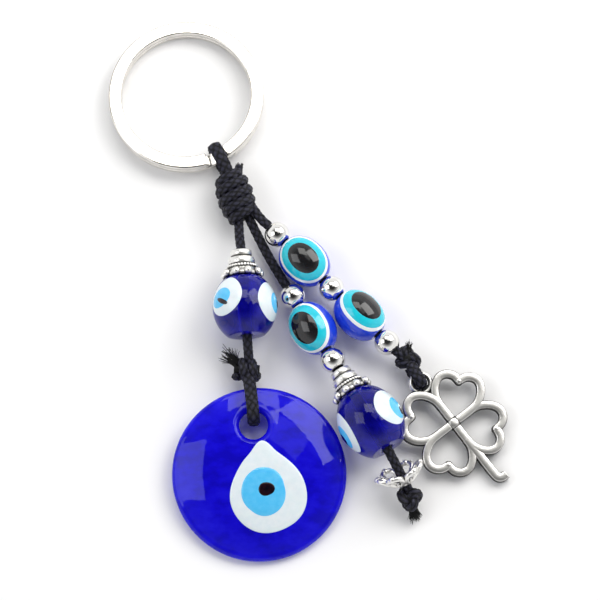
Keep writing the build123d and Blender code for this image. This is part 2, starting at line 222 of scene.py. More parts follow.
def cord_material(name, colour, shine):
    """Waxed cotton: yarn lines along each plait of the braid and rubbed wax that varies its tone and gloss,
    painted darker in the plait grooves as painted shade and lighter on the plait tops as painted highlight.
    """
    mat = shader(name, colour, roughness=0.5, Specular_IOR_Level=0.22)
    uv = node(mat, "ShaderNodeUVMap", uv_map="plait")
    split = node(mat, "ShaderNodeSeparateXYZ")
    link(mat, (uv.outputs["UV"], split.inputs[0]))
    a, b = split.outputs["X"], split.outputs["Y"]
    cell = math_node(mat, "ADD", math_node(mat, "FLOOR", a), math_node(mat, "FLOOR", b))
    odd = math_node(mat, "PINGPONG", cell, 1.0)
    share_a = math_node(mat, "MULTIPLY", math_node(mat, "FRACT", a), math_node(mat, "SUBTRACT", 1.0, odd))
    share_b = math_node(mat, "MULTIPLY", math_node(mat, "FRACT", b), odd)
    along = math_node(mat, "MULTIPLY", math_node(mat, "ADD", share_a, share_b), TURN * YARNS)
    yarn = math_node(mat, "SINE", along)
    fuzz = noise(mat, 9000, 4.0)
    height = math_node(mat, "ADD", math_node(mat, "MULTIPLY", yarn, 0.5), fuzz)
    bump(mat, height, 0.00005, 0.7)
    # Painted light: the plait height darkens the grooves as painted shade and lightens the plait tops as
    # painted highlight; the wax noise adds random tone. Yarn ends and cores carry no plait height and take
    # the painted-shade end.
    plait_highlight = tuple(c * 8 for c in colour)
    dark = tuple(c * 0.2 for c in colour)
    wax = noise(mat, 1500, 5.0, rough=0.7)
    relief = node(mat, "ShaderNodeAttribute", attribute_name="relief").outputs["Fac"]
    wax_share = math_node(mat, "MULTIPLY", wax, 0.5)
    tone = math_node(mat, "ADD", math_node(mat, "MULTIPLY", relief, 0.6), wax_share)
    drive(mat, "Base Color", ramp(mat, tone, [(0.35, dark), (0.6, colour), (0.9, plait_highlight)]))
    drive(mat, "Roughness", ramp(mat, wax, [(0.35, 0.62), (0.7, shine)]))
    return mat


def plated_material(name, colour, roughness, scratch, pit):
    """Plated metal: fine rubbing marks and a slight unevenness under the plate."""
    mat = shader(name, colour, roughness=roughness, metallic=1.0)
    rub = noise(mat, 2600, 6.0, stretch=(1, 1, 4), rough=0.65)
    wave = noise(mat, 350, 2.0)
    drive(mat, "Roughness", ramp(mat, rub, [(0.3, roughness * 0.7), (0.75, roughness + scratch)]))
    dim = tuple(c * 0.86 for c in colour)
    drive(mat, "Base Color", ramp(mat, wave, [(0.35, dim), (0.6, colour)]))
    bump(mat, math_node(mat, "ADD", math_node(mat, "MULTIPLY", rub, 0.3), wave), pit, 0.5)
    return mat


def antique_material(name):
    """Antique silver casting: bright where it is rubbed, black with patina in the hollows and pitting, and
    darker on the clover's strip sides as painted shade.
    """
    mat = shader(name, (0.86, 0.85, 0.82), roughness=0.3, metallic=1.0)
    edge = node(mat, "ShaderNodeAmbientOcclusion", {"Distance": 0.0012}, samples=8)
    grain = noise(mat, 2200, 5.0, rough=0.6)
    # The clover's height attribute below darkens its strip shoulders and sides under the top plateau as
    # painted shade; the occlusion term is the patina in the hollows.
    strip_side_shade = node(mat, "ShaderNodeAttribute", attribute_name="strip_side_shade").outputs["Fac"]
    wear_and_side_shade = math_node(mat, "SUBTRACT", edge.outputs["AO"], math_node(mat, "MULTIPLY", strip_side_shade, 0.7))
    pits_wear_and_side_shade = math_node(mat, "ADD", wear_and_side_shade, math_node(mat, "MULTIPLY", grain, 0.3))
    tone = ramp(mat, pits_wear_and_side_shade, [(0.5, (0.03, 0.03, 0.03)), (0.72, (0.34, 0.33, 0.31)),
                            (0.95, (0.86, 0.85, 0.82))])
    drive(mat, "Base Color", tone)
    drive(mat, "Roughness", ramp(mat, pits_wear_and_side_shade, [(0.5, 0.6), (0.95, 0.32)]))
    bump(mat, math_node(mat, "ADD", grain, noise(mat, 700, 2.0)), 0.00003, 0.6)
    return mat


def glass_material(name, colour, transmission, streak):
    """Fire-polished glass: clear body with drawn streaks and a slightly wavy skin."""
    mat = shader(name, colour, roughness=0.03, Transmission_Weight=transmission, IOR=1.45,
                 Specular_IOR_Level=0.16)
    swirl = noise(mat, 260, 4.0, stretch=(1, 1.6, 0.5), rough=0.55)
    deep = tuple(c * 0.75 for c in colour)
    drive(mat, "Base Color", ramp(mat, swirl, [(0.35, deep), (0.5, colour), (0.7, streak)]))
    bump(mat, noise(mat, 300, 2.0), 0.0001, 0.25)
    return mat


def enamel_material(name, colour, second, scale=900, coat=0.4):
    """Opaque glass or resin: glossy, with a faint drift of a second colour."""
    mat = shader(name, colour, roughness=0.12, Coat_Weight=coat, Coat_Roughness=0.03,
                 Specular_IOR_Level=0.3, Subsurface_Weight=0.12, Subsurface_Scale=0.0006)
    drift = noise(mat, scale, 3.0, rough=0.5)
    drive(mat, "Base Color", ramp(mat, drift, [(0.35, colour), (0.75, second)]))
    bump(mat, noise(mat, 420, 2.0), 0.00005, 0.3)
    return mat


CORD_BLACK = cord_material("waxed cord", (0.004, 0.004, 0.007), 0.22)
FRAY_BLACK = cord_material("frayed yarn", (0.008, 0.008, 0.01), 0.45)
NICKEL = plated_material("nickel plate", (0.86, 0.83, 0.78), 0.1, 0.12, 0.00002)
SILVER = plated_material("silver plate", (0.88, 0.87, 0.84), 0.05, 0.06, 0.00001)
ANTIQUE = antique_material("antique silver")
PENDANT_BLUE = glass_material("pendant cobalt", (0.012, 0.006, 0.86), 0.45, (0.02, 0.014, 0.95))
BEAD_BLUE = glass_material("bead cobalt", (0.004, 0.003, 0.4), 0.7, (0.012, 0.01, 0.7))
GLASS_WHITE = enamel_material("white glass", (0.7, 0.78, 0.82), (0.76, 0.82, 0.85))
GLASS_SKY = enamel_material("sky glass", (0.08, 0.5, 0.86), (0.13, 0.56, 0.9))
GLASS_DARK = enamel_material("dark glass", (0.003, 0.002, 0.006), (0.02, 0.004, 0.008))
RESIN_BLUE = enamel_material("blue resin", (0.01, 0.045, 0.62), (0.02, 0.07, 0.72), coat=0.6)
RESIN_WHITE = enamel_material("white resin", (0.9, 0.91, 0.92), (0.94, 0.95, 0.95), coat=0.6)
RESIN_SKY = enamel_material("turquoise resin", (0.01, 0.52, 0.66), (0.02, 0.6, 0.72), coat=0.6)
RESIN_BLACK = enamel_material("black resin", (0.008, 0.008, 0.009), (0.014, 0.014, 0.016), coat=0.6)


# ---- meshes
def make(name, points, faces, mat, uv=None):
    """Mesh object from millimetre points and faces, smooth, with normals facing out."""
    mesh = bpy.data.meshes.new(name)
    mesh.from_pydata((np.asarray(points) * MM).tolist(), [], faces)
    if uv is not None:
        layer = mesh.uv_layers.new(name="plait")
        layer.data.foreach_set("uv", np.asarray(uv, float).ravel())
    work = bmesh.new()
    work.from_mesh(mesh)
    bmesh.ops.recalc_face_normals(work, faces=work.faces)
    work.to_mesh(mesh)
    work.free()
    mesh.polygons.foreach_set("use_smooth", [True] * len(mesh.polygons))
    mesh.materials.append(mat)
    mesh.update()
    obj = bpy.data.objects.new(name, mesh)
    bpy.context.scene.collection.objects.link(obj)
    return obj


def grid_faces(rows, cols, wrap_rows, wrap_cols):
    """Quads over a grid of points, wrapped round in either way."""
    r = np.arange(rows if wrap_rows else rows - 1)
    c = np.arange(cols if wrap_cols else cols - 1)
    r, c = np.meshgrid(r, c, indexing="ij")
    r2, c2 = (r + 1) % rows, (c + 1) % cols
    return np.stack([r * cols + c, r * cols + c2, r2 * cols + c2, r2 * cols + c], -1).reshape(-1, 4)


def shell(points, wrap_rows=False, wrap_cols=True, ends=True):
    """(points, faces) of a grid, its two ends closed by fans if it has ends."""
    points = np.asarray(points, float)
    rows, cols = points.shape[:2]
    faces = grid_faces(rows, cols, wrap_rows, wrap_cols).tolist()
    flat = points.reshape(-1, 3)
    if ends and not wrap_rows:
        flat = np.vstack([flat, points[0].mean(0), points[-1].mean(0)])
        first, last = rows * cols, rows * cols + 1
        base = (rows - 1) * cols
        faces += [[first, (i + 1) % cols, i] for i in range(cols)]
        faces += [[last, base + i, base + (i + 1) % cols] for i in range(cols)]
    return flat, faces


def join(shells):
    """Several (points, faces) as one."""
    points, faces, start = [], [], 0
    for some, polygons in shells:
        points.append(some)
        faces += [[i + start for i in polygon] for polygon in polygons]
        start += len(some)
    return np.vstack(points), faces


def lathe(place, profile, steps=96, closed=False):
    """Profile of (radius, height) turned about the place's Z. Closed profiles make a ring."""
    angles = np.linspace(0, TURN, steps, endpoint=False)
    profile = np.asarray(profile, float)
    rows = np.stack([np.outer(profile[:, 0], np.cos(angles)), np.outer(profile[:, 0], np.sin(angles)),
                     np.repeat(profile[:, 1:2], steps, 1)], -1)
    return shell(place.put(rows), wrap_rows=closed, ends=not closed)


def ball(centre, radius, steps=20):
    """A round ball as (points, faces)."""
    lift = np.linspace(-pi / 2, pi / 2, steps // 2 + 1)[1:-1]
    place = Place(centre, [1, 0, 0], UP)
    return lathe(place, np.stack([radius * np.cos(lift), radius * np.sin(lift)], -1), steps)


def rounded(points, radius, steps=5):
    """Closed outline of 2-D corners with each corner rounded off."""
    points = np.asarray(points, float)
    made = []
    for i, corner in enumerate(points):
        before, after = points[i - 1], points[(i + 1) % len(points)]
        reach = min(radius, 0.45 * np.linalg.norm(before - corner), 0.45 * np.linalg.norm(after - corner))
        start = corner + unit(before - corner) * reach
        end = corner + unit(after - corner) * reach
        for t in np.linspace(0, 1, steps):
            made.append((1 - t) ** 2 * start + 2 * t * (1 - t) * corner + t * t * end)
    return np.array(made)


def resample(points, step):
    """Evenly spaced points along a polyline, about this far apart."""
    points = np.asarray(points, float)
    reach = np.concatenate([[0], np.cumsum(np.linalg.norm(np.diff(points, axis=0), axis=1))])
    count = max(3, int(round(reach[-1] / step)) + 1)
    at = np.linspace(0, reach[-1], count)
    return np.stack([np.interp(at, reach, points[:, i]) for i in range(3)], -1), at


def carried_frames(points, closed=False):
    """Tangents and normals carried along a path without twisting."""
    ahead = np.roll(points, -1, 0) - np.roll(points, 1, 0)
    if not closed:
        ahead[0] = points[1] - points[0]
        ahead[-1] = points[-1] - points[-2]
    tangents = ahead / np.linalg.norm(ahead, axis=1, keepdims=True)
    seed = UP if abs(tangents[0][2]) < 0.9 else np.array([0, 1.0, 0])
    normals = [unit(seed - tangents[0] * np.dot(seed, tangents[0]))]
    for t in tangents[1:]:
        last = normals[-1]
        normals.append(unit(last - t * np.dot(last, t)))
    return tangents, np.array(normals)


PLAITS = 5
PLAIT_LENGTH = 1.7
BRAID_STEP = 0.12
BRAID_AROUND = 64


def braid(angle, along, radius):
    """(height share, plait coordinates) of an over-and-under braid round a cord."""
    a = PLAITS * angle / TURN + along / (PLAIT_LENGTH * radius)
    b = PLAITS * angle / TURN - along / (PLAIT_LENGTH * radius)
    over = (np.floor(a) + np.floor(b)) % 2
    wide_a = np.cos(pi * (a % 1 - 0.5))
    wide_b = np.cos(pi * (b % 1 - 0.5))
    top = np.where(over < 0.5, wide_a * (0.45 + 0.55 * wide_b), wide_b * (0.45 + 0.55 * wide_a))
    return np.sqrt(np.clip(top, 0, 1)), a, b


def route(control):
    """Points along the smooth NURBS line with these control points."""
    curve = bpy.data.curves.new("route", "CURVE")
    curve.dimensions = "3D"
    curve.resolution_u = 24
    spline = curve.splines.new("NURBS")
    spline.points.add(len(control) - 1)
    for point, place in zip(spline.points, control):
        point.co = (*[value * MM for value in place], 1)
    spline.order_u = 3
    spline.use_endpoint_u = True
    holder = bpy.data.objects.new("route", curve)
    bpy.context.scene.collection.objects.link(holder)
    line = bpy.data.meshes.new_from_object(holder)
    points = np.array([vertex.co[:] for vertex in line.vertices]) / MM
    bpy.data.objects.remove(holder)
    bpy.data.curves.remove(curve)
    bpy.data.meshes.remove(line)
    return points


def cord_mesh(name, path, radius=CORD_R, wide=1.0, flat=1.0, normals=None, closed=False, taper=(0.0, 0.0)):
    """Braided cord along a path: an oval of the cord's size, raised where a plait lies on top."""
    points, at = resample(path, BRAID_STEP)
    if closed:
        points, at = points[:-1], at[:-1]
    tangents, carried = carried_frames(points, closed=closed)
    if normals is not None:
        given = normals(points)
        carried = given - tangents * np.sum(given * tangents, 1, keepdims=True)
        carried /= np.linalg.norm(carried, axis=1, keepdims=True)
    sides = np.cross(tangents, carried)
    angle = np.linspace(0, TURN, BRAID_AROUND, endpoint=False)
    grid_angle, grid_at = np.meshgrid(angle, at)
    height, a, b = braid(grid_angle, grid_at, radius)
    size = radius * (0.72 + 0.28 * height)
    ends = np.ones(len(at))
    for share, distance in ((taper[0], at), (taper[1], at[-1] - at)):
        if share:
            near = np.clip(distance / (radius * share), 0, 1)
            ends *= np.sqrt(np.clip(1 - (1 - near) ** 2, 0.02, 1))
    size = size * ends[:, None]
    rows = (points[:, None, :] + carried[:, None, :] * (np.cos(grid_angle) * size * flat)[..., None]
            + sides[:, None, :] * (np.sin(grid_angle) * size * wide)[..., None])
    cols = BRAID_AROUND
    grid = grid_faces(len(at), cols, closed, True)
    coords = np.stack([a, b], -1).reshape(-1, 2)
    uv = coords[grid]
    seam = grid[:, 0] % cols == cols - 1
    uv[seam, 1:3] += PLAITS
    flat_points = rows.reshape(-1, 3)
    faces = grid.tolist()
    uv = uv.reshape(-1, 2)
    if not closed:
        flat_points = np.vstack([flat_points, rows[0].mean(0), rows[-1].mean(0)])
        first, last, base = len(at) * cols, len(at) * cols + 1, (len(at) - 1) * cols
        for i in range(cols):
            faces.append([first, (i + 1) % cols, i])
            faces.append([last, base + i, base + (i + 1) % cols])
        uv = np.vstack([uv, np.zeros((6 * cols, 2))])
    made = make(name, flat_points, faces, CORD_BLACK, uv=uv)
    # The plait height, which the cord material also uses for painted shade in the grooves and a painted
    # highlight on the plait tops.
    relief = np.zeros(len(flat_points))
    relief[:height.size] = height.ravel()
    made.data.attributes.new("relief", "FLOAT", "POINT").data.foreach_set("value", relief)
    return made


def tube(path, radius, steps=10, closed=False, taper=0.0):
    """Plain round tube along a path, as (points, faces). Radius may be a list."""
    path = np.asarray(path, float)
    tangents, normals = carried_frames(path, closed=closed)
    sides = np.cross(tangents, normals)
    angle = np.linspace(0, TURN, steps, endpoint=False)
    size = np.broadcast_to(np.asarray(radius, float), (len(path),)).copy()
    if taper:
        size *= np.linspace(1, 1 - taper, len(path))
    rows = (path[:, None, :] + normals[:, None, :] * (np.cos(angle) * size[:, None])[..., None]
            + sides[:, None, :] * (np.sin(angle) * size[:, None])[..., None])
    return shell(rows, wrap_rows=closed, ends=not closed)


def fray(root, direction, length, spread, count, root_r=0.7, droop=0.0):
    """A bundle of loose yarn ends, as (points, faces)."""
    direction = unit(direction)
    frame_x = unit(np.cross(direction, [0.3, 0.2, 0.93]))
    frame_y = np.cross(direction, frame_x)
    bundle = []
    for i in range(count):
        turn = rng.uniform(0, TURN)
        out = sqrt(rng.uniform(0, 1))
        way = frame_x * cos(turn) + frame_y * sin(turn)
        reach = length * rng.uniform(0.55, 1.0)
        bend = rng.normal(0, 0.25, 3)
        t = np.linspace(0, 1, 9)[:, None]
        line = (np.asarray(root) + way * out * root_r + direction * reach * t
                + way * out * spread * t**1.6 + bend * (t**2) * length * 0.5 - UP * droop * t**2)
        line[:, 2] = np.maximum(line[:, 2], 0.12)
        bundle.append(tube(line, rng.uniform(0.05, 0.1), 5, taper=0.5))
    return join(bundle)


def yarn_end(name, body, nodes, *shape):
    """Loose yarn at a cut end, standing for these nodes. The shape is what fray takes."""
    piece(make(name, *fray(*shape), FRAY_BLACK), body, "waxed_cord", *nodes)


def outward(origin, axis):
    """Function from points to their directions straight out from an axis."""
    return lambda points: points - origin - np.outer((points - origin) @ axis, axis)


def piece(obj, body, slot, *nodes):
    """Ride on a body and stand for CAD nodes, which are hidden. The slot is passed on but not used."""
    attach(obj, body)
    finish(obj, slot, *nodes)
    return obj


def finish(obj, slot, *nodes):
    """Hide the CAD nodes that this piece stands for. The slot is not used."""
    if nodes:
        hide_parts(*nodes)


# ---- camera
ELEVATION = 76.5
DISTANCE = 600
TARGET = np.array([21.95, -39.74, 0.0])
FIELD = 114.6
SENSOR = 36.0

camera_back = np.array([0, -cos(radians(ELEVATION)), sin(radians(ELEVATION))])
camera_data = bpy.data.cameras.new("camera")
camera_data.sensor_width = SENSOR
camera_data.lens = SENSOR * DISTANCE / FIELD
camera_data.clip_start = 0.01
camera_data.clip_end = 10
camera = bpy.data.objects.new("camera", camera_data)
camera.location = (TARGET + camera_back * DISTANCE) * MM
camera.rotation_euler = (radians(90 - ELEVATION), 0, 0)
bpy.context.scene.collection.objects.link(camera)
bpy.context.scene.camera = camera
bpy.context.scene.view_settings.view_transform = "Standard"

# ---- the cords
LEFT_ROUTE = [(10.2, -23.6, 3.5), (10.3, -27.8, 4.3), (10.79, -31.3, 6.4), (11.08, -35.4, 6.4),
              (11.74, -44.9, 6.4), (12.1, -50.05, 6.4), (12.5, -54.5, 3.7)]
MIDDLE_ROUTE = [(11.3, -22.5, 3.4), (14.9, -30.2, 2.7), (19.31, -37.82, 3.67), (23.77, -45.36, 4.46),
                (34.29, -63.1, 6.29), (38.96, -70.98, 7.11), (42.9, -78.4, 3.37)]
RIGHT_ROUTE = [(12.2, -21.6, 4.4), (14.0, -24.5, 4.5), (15.81, -26.18, 4.5), (17.54, -27.94, 4.5),
               (39.9, -50.6, 4.5), (42.3, -52.4, 3.0)]

left_path = route(LEFT_ROUTE)
middle_path = route(MIDDLE_ROUTE)
right_path = route(RIGHT_ROUTE)
left_line = cord_mesh("left_cord_line", left_path)
middle_line = cord_mesh("middle_cord_line", middle_path)
right_line = cord_mesh("right_cord_line", right_path)
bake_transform(left_line)
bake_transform(middle_line)
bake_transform(right_line)
for line, side in [(left_line, "left"), (middle_line, "middle"), (right_line, "right")]:
    finish(line, "waxed_cord", f"{side}_lead", f"{side}_cord")

# ---- ring and its loop
ring_slope = heading(LOOP_ANGLE, RING_TILT)
ring_axis = across(ring_slope)
ring = Place(ring_axis * RING_HEIGHT, ring_slope, ring_axis)
WIRE_R = (RING_OUTER_R + RING_INNER_R) / 2
WIRE_W = RING_OUTER_R - RING_INNER_R
WIRE_T = RING_THICK / 2
wire_centre = ring.origin + ring.x * WIRE_R


def wire_section():
    """Rounded rectangle of the ring's wire as (radial, axial) points."""
    half_w, half_t = WIRE_W / 2, WIRE_T / 2 - 0.03
    corners = [(half_w, half_t), (-half_w, half_t), (-half_w, -half_t), (half_w, -half_t)]
    return rounded(corners, 0.34, 7)


CUT_ANGLE = -9
STEP_ANGLE = 16
angles = np.radians(np.arange(CUT_ANGLE + STEP_ANGLE + 4, 720 + CUT_ANGLE, 1.5))
lift = np.clip((np.degrees(angles) - 360 - CUT_ANGLE) / STEP_ANGLE, 0, 1)
lift = (lift * lift * (3 - 2 * lift) - 0.5) * WIRE_T
section = wire_section()
radial = WIRE_R + section[:, 0]
rows = np.stack([np.cos(angles)[:, None] * radial, np.sin(angles)[:, None] * radial,
                 lift[:, None] + section[:, 1]], -1)
coil = make("ring_coil", *shell(ring.put(rows)), NICKEL)
piece(coil, "key_ring", "ring_nickel", "split_ring")


def loop_at(out, rise):
    """Point this far out from the wire's centre and this far above it."""
    return tuple(wire_centre + ring.x * out + ring.z * rise)


LOOP_ROUND_WIRE = [(3.0, 1.5), (1.6, 2.2), (-1.3, 2.3), (-2.05, 1.8), (-2.0, -1.6), (-1.2, -2.25),
                   (1.6, -2.1), (2.9, -1.0)]
ring_loop_path = route([tuple(LASHING_TOP + [0.5, -1.6, 0.3]), *[loop_at(*at) for at in LOOP_ROUND_WIRE],
                        tuple(LASHING_TOP + [0.5, -1.6, -0.6])])
ring_side = np.cross(ring.z, ring.x)
band = cord_mesh("ring_cord_loop", ring_loop_path, 0.95, wide=1.38, flat=0.6,
                 normals=lambda points: np.cross(np.gradient(points, axis=0), ring_side))
piece(band, "cord_loop", "waxed_cord", "ring_loop")

# ---- lashing
lashing_dir = unit(LASHING_FOOT - LASHING_TOP)
lashing_length = np.linalg.norm(LASHING_FOOT - LASHING_TOP)
lashing = bead_place(LASHING_TOP, lashing_dir)
WRAPS = 5
WRAP_AT = np.array([-0.25, 0.0, 1.97, 3.94, 5.91, 7.88, 9.85, 10.2])
WRAP_R = np.array([1.7, 2.2, 2.95, 3.4, 3.4, 3.05, 2.35, 1.9])
along = np.linspace(0.35, lashing_length - 0.5, 400)
wind = (along - 0.35) / (lashing_length - 0.85) * TURN * (WRAPS - 0.25) + radians(200)
wrap_out = np.interp(along, WRAP_AT, WRAP_R) - 0.52
sway = 0.16 * np.sin(wind * 1.0 + 0.6) + 0.1 * np.sin(wind * 0.37)
wrap_path = lashing.put(np.stack([np.cos(wind) * wrap_out, np.sin(wind) * wrap_out, along + sway], -1))
wraps = cord_mesh("lashing_wraps", wrap_path, 0.95, wide=1.12, flat=0.85, taper=(1.2, 1.2),
                  normals=outward(LASHING_TOP, lashing_dir))
core_at = np.linspace(0.1, lashing_length - 0.15, 24)
core_profile = [(max(0.4, r - 0.85), z) for z, r in zip(core_at, np.interp(core_at, WRAP_AT, WRAP_R))]
core = make("lashing_core", *lathe(lashing, core_profile, 48), FRAY_BLACK)
piece(wraps, "lashing", "waxed_cord", "lashing_knot")
piece(core, "lashing", "waxed_cord")
tail_path = route([(9.6, -17.9, 4.3), (10.0, -16.0, 4.55), (10.35, -14.2, 4.1)])
tail = cord_mesh("lashing_tail_cord", tail_path, 0.82, taper=(0, 0.5))
piece(tail, "lashing", "waxed_cord", "lashing_tail")
yarn_end("lashing_tail_fray", "lashing", [],
         tail_path[-1] + [0, -0.3, 0], (0.15, 1, -0.1), 0.75, 0.25, 40, 0.6)


# ---- silver spacers
def spacer(name, centre, direction):
    """Plain round silver bead with a small hole."""
    place = bead_place(centre, direction)
    opening = np.arcsin(BORE_R / SPACER_R)
    lean = np.linspace(opening, pi - opening, 48)
    outer = [(SPACER_R * sin(a), -SPACER_R * cos(a)) for a in lean]
    profile = outer + [(BORE_R, SPACER_HALF - 0.5), (BORE_R, 0.5 - SPACER_HALF)]
    made = make(f"{name}_ball", *lathe(place, profile, 80, closed=True), SILVER)
    piece(made, name, "silver_bead", name)


# ---- eye beads
def barrel_profile(radius, half, swell, power=2.0, steps=56):
    """Closed (radius, height) outline of a barrel bead with a hole."""
    t = np.linspace(-1, 1, steps)
    heights = half * np.sin(t * pi / 2)
    outer = [(radius * (1 - abs(z / swell) ** power) ** (1 / power), z) for z in heights]
    end_r = outer[0][0]
    lip = np.linspace(0, 1, 5)
    closing = [(end_r - (end_r - BORE_R - 0.15) * s, half + 0.03 * sin(pi * s)) for s in lip[1:]]
    bore = [(BORE_R + 0.02, half - 0.2), (BORE_R + 0.02, -half + 0.2)]
    return outer + closing + bore + [(r, -z) for r, z in reversed(closing)]


def slice_mesh(name, points, faces, origin, way, low, high, mat):
    """The part of a closed mesh between two depths along one direction, closed again."""
    mesh = bpy.data.meshes.new(name)
    mesh.from_pydata((np.asarray(points) * MM).tolist(), [], faces)
    work = bmesh.new()
    work.from_mesh(mesh)
    for depth, keep_inner in ((low, False), (high, True)):
        if depth is None:
            continue
        cut_at = (origin + way * depth) * MM
        everything = work.verts[:] + work.edges[:] + work.faces[:]
        bmesh.ops.bisect_plane(work, geom=everything, dist=1e-7, plane_co=cut_at, plane_no=way,
                               clear_outer=keep_inner, clear_inner=not keep_inner)
        rim = [edge for edge in work.edges if edge.is_boundary]
        bmesh.ops.holes_fill(work, edges=rim, sides=0)
    bmesh.ops.recalc_face_normals(work, faces=work.faces)
    for face in work.faces:
        face.smooth = len(face.verts) < 5
    work.to_mesh(mesh)
    work.free()
    mesh.materials.append(mat)
    obj = bpy.data.objects.new(name, mesh)
    bpy.context.scene.collection.objects.link(obj)
    return obj


RESIN_DEPTHS = [1.7, 2.33, 3.5]
RESIN_KINDS = [("body", RESIN_BLUE, "resin_blue"), ("white", RESIN_WHITE, "resin_white"),
               ("iris", RESIN_SKY, "resin_turquoise"), ("pupil", RESIN_BLACK, "resin_black")]


def eye_bead(name, centre, direction, turn):
    """Oval resin bead in four layers: blue, white, turquoise and a black pupil on top."""
    place = bead_place(centre, direction, turn)
    points, faces = lathe(place, barrel_profile(EYE_R, EYE_HALF, EYE_HALF + 0.35, 2.15), 128, closed=True)
    limits = [None] + RESIN_DEPTHS + [None]
    for (kind, mat, slot), low, high in zip(RESIN_KINDS, limits, limits[1:]):
        made = slice_mesh(f"{name}_{kind}_layer", points, faces, place.origin, place.x, low, high, mat)
        piece(made, name, slot, f"{name}_{kind}")


# ---- glass beads
GLASS_SWELL = 1.3
DOT_RAISED = [0.12, 0.2, 0.27]
DOT_KINDS = [("white", "whites", GLASS_WHITE, "glass_white"), ("iris", "irises", GLASS_SKY, "glass_sky"),
             ("pupil", "pupils", GLASS_DARK, "glass_dark")]


def dot_mesh(name, place, profile_r, spots, raised, mat):
    """Rounded dots of glass melted onto a bead, each (turn, height, half width, half length, lean)."""
    shells = []
    for turn, height, half_wide, half_long, lean in spots:
        around = np.linspace(0, TURN, 72, endpoint=False)
        rows = []
        grow = np.concatenate([np.linspace(0.12, 1, 6), np.cos(np.linspace(0, pi / 2, 16))[1:-1], [0.06]])
        height_share = np.concatenate([np.full(6, -1.0), np.sin(np.linspace(0, pi / 2, 16))[1:-1], [1.0]])
        for k, share in zip(grow, height_share):
            s = half_wide * k * np.cos(around)
            t = half_long * k * np.sin(around)
            s, t = s * cos(lean) - t * sin(lean), s * sin(lean) + t * cos(lean)
            h = np.clip(height + t, -profile_r.limit, profile_r.limit)
            r = profile_r(h) + (raised * share if share > 0 else -0.35)
            a = radians(turn) + s / GLASS_R
            rows.append(np.stack([r * np.cos(a), r * np.sin(a), h], -1))
        shells.append(shell(place.put(np.array(rows))))
    return make(name, *join(shells), mat)


class Barrel:
    """Radius of a glass bead at a height along its hole."""

    def __init__(self, radius, half, swell, power):
        self.radius, self.limit, self.swell, self.power = radius, half, swell, power

    def __call__(self, height):
        return self.radius * (1 - np.abs(height / self.swell) ** self.power) ** (1 / self.power)


def glass_bead(name, centre, direction, half, eyes):
    """Lampwork bead: clear cobalt body with three eyes melted on, each (white, iris, pupil)."""
    place = bead_place(centre, direction)
    skin = Barrel(GLASS_R - DOT_RAISED[0], half, half + GLASS_SWELL, 2.0)
    profile = barrel_profile(skin.radius, half, skin.swell, skin.power, 64)
    points, faces = lathe(place, profile, 144, closed=True)
    body = make(f"{name}_clear", points, faces, BEAD_BLUE)
    piece(body, name, "cobalt_glass", f"{name}_body")
    for (kind, plural, mat, slot), raised, spots in zip(DOT_KINDS, DOT_RAISED, zip(*eyes)):
        dots = dot_mesh(f"{name}_{plural}", place, skin, spots, raised, mat)
        piece(dots, name, slot, f"{name}_{kind}")


# ---- bead caps
MILL_BALLS = 28
RIM_BALLS = 9
CAST_LENGTH = 4.95


def bead_cap(name, top, direction):
    """Cast bell cap: two plain rings, a milled band and a rim of round balls."""
    place = bead_place(top, direction)
    outline = [(1.18, 0.0), (1.85, 0.0), (2.0, 0.12), (2.02, 0.9), (1.9, 1.05), (1.72, 1.1), (1.72, 1.22),
               (2.2, 1.3), (2.42, 1.42), (2.5, 1.6), (2.52, 2.35), (2.42, 2.55), (2.2, 2.62), (2.15, 2.72),
               (2.5, 2.85), (2.6, 3.1), (2.65, 3.5), (2.8, 3.8), (3.1, 4.0), (3.3, 4.3), (3.2, 4.7),
               (2.9, 4.75), (2.3, 4.1), (1.9, 3.6), (1.18, 3.3)]
    outline = [(r, z * CAP_LENGTH / CAST_LENGTH) for r, z in outline]
    shells = [lathe(place, outline, 96, closed=True)]
    for i in range(MILL_BALLS):
        a = TURN * i / MILL_BALLS
        shells.append(ball(place.put([2.62 * cos(a), 2.62 * sin(a), 3.25]), 0.36, 12))
    for i in range(RIM_BALLS):
        a = TURN * (i + 0.5) / RIM_BALLS
        shells.append(ball(place.put([3.38 * cos(a), 3.38 * sin(a), 4.55]), 0.78, 20))
        shells.append(ball(place.put([2.5 * cos(a), 2.5 * sin(a), 2.15]), 0.16, 8))
    piece(make(f"{name}_cast", *join(shells), ANTIQUE), name, "antique_silver", name)


LEFT_DIR = heading(-86)
LEFT_GLASS = np.array([11.5, -42.65, 6.4])
LEFT_CAP_TOP = LEFT_GLASS - LEFT_DIR * (LEFT_GLASS_HALF + BEAD_GAP + CAP_LENGTH)
bead_cap("left_cap", LEFT_CAP_TOP, LEFT_DIR)
glass_bead("left_glass", LEFT_GLASS, LEFT_DIR, LEFT_GLASS_HALF,
           [((41, -1.4, 4.2, 3.7, 0.35), (47, -1.2, 2.9, 2.1, 0.3), (44, -0.5, 1.7, 0.6, -0.5)),
            ((-66, -0.2, 4.4, 3.8, 0.0), (-75, -0.1, 2.6, 2.3, 0.1), (-83, 0.0, 1.3, 1.2, 0.0)),
            ((164, 0.2, 3.0, 3.3, 0.1), (166, 0.4, 1.9, 2.0, 0.1), (168, 0.5, 0.8, 0.9, 0.0))])

